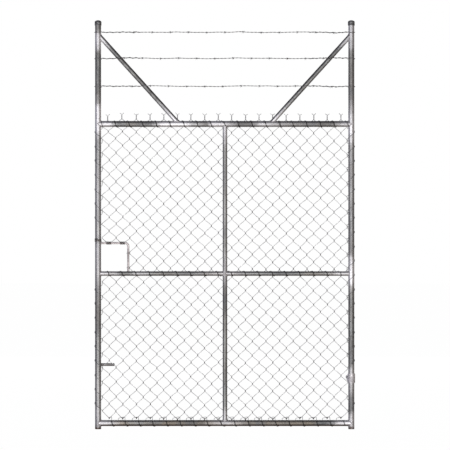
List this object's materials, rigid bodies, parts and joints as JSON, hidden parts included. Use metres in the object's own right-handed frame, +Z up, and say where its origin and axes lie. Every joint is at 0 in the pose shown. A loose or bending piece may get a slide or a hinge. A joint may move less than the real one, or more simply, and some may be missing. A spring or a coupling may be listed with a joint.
{
  "type": "chain-link gate leaf",
  "caption": "Tall galvanised tube gate leaf filled with chain-link fabric, with barbed-wire strands above, a hand hole, a drop bolt and two post pintles.",
  "frame": {"origin": "on the axis of the lower pintle's shank, at the face of the post", "axes": "+Z up along the hinge pins, +Y from the front of the leaf into the post along the shank, +X from the latch stile towards the hinge stile; the closed leaf stands in front of the post face and reaches to -X"},
  "size_m": [1.45, 0.1707, 2.268],
  "materials": {
    "galvanised_tube": "weathered hot-dip galvanised tube, dull grey with bright zinc-rich repair coating at the welds",
    "cap_metal": "dark weathered pressed steel",
    "hinge_iron": "dull dark galvanised forging",
    "zinc_coated_hinge": "galvanised strap under brushed-on zinc coating",
    "fastener_zinc": "zinc-plated, dulled",
    "bar_steel": "galvanised bar, worn, with a brown tint",
    "bolt_guide_steel": "dull galvanised tube",
    "tie_wire": "dark weathered galvanised wire",
    "fabric_wire": "light grey galvanised wire",
    "lacing_wire": "dull galvanised wire",
    "barbed_wire": "dull grey galvanised wire"
  },
  "bodies": {
    "post_side": {"lower_pintle": "hinge_iron", "upper_pintle": "hinge_iron"},
    "leaf": {"hinge_stile": "galvanised_tube", "latch_stile": "galvanised_tube", "top_rail": "galvanised_tube", "mid_rail": "galvanised_tube", "bottom_rail": "galvanised_tube", "upper_mullion": "galvanised_tube", "lower_mullion": "galvanised_tube", "hinge_side_brace": "galvanised_tube", "latch_side_brace": "galvanised_tube", "hinge_stile_cap": "cap_metal", "latch_stile_cap": "cap_metal", "lower_hinge_band": "zinc_coated_hinge", "hinge_band_bolt": "fastener_zinc", "hinge_band_nut": "fastener_zinc", "upper_hinge_eye": "zinc_coated_hinge", "hand_hole_frame": "bar_steel", "hand_hole_ties": "tie_wire", "stile_tie_wraps": "tie_wire", "fabric_main": "fabric_wire", "fabric_above_hand_hole": "fabric_wire", "fabric_below_hand_hole": "fabric_wire", "top_rail_lacing": "lacing_wire", "mid_rail_lacing": "lacing_wire", "bottom_rail_lacing": "lacing_wire", "hinge_stile_lacing": "lacing_wire", "latch_stile_lacing": "lacing_wire", "top_strand": "barbed_wire", "middle_strand": "barbed_wire", "bottom_strand": "barbed_wire", "top_barbs": "barbed_wire", "middle_barbs": "barbed_wire", "bottom_barbs": "barbed_wire", "upper_bolt_guide": "bolt_guide_steel", "lower_bolt_guide": "bolt_guide_steel"},
    "drop_bolt": {"drop_bolt": "bar_steel"}
  },
  "joints": [
    {"name": "leaf_swing", "type": "hinge", "parent": "post_side", "child": "leaf", "pos_m": [0, -0.03, 0], "axis": [0, 0, 1], "range_deg": [0, 105]},
    {"name": "bolt_drop", "type": "slide", "parent": "leaf", "child": "drop_bolt", "axis": [0, 0, -1], "range_m": [0, 0.075]}
  ]
}
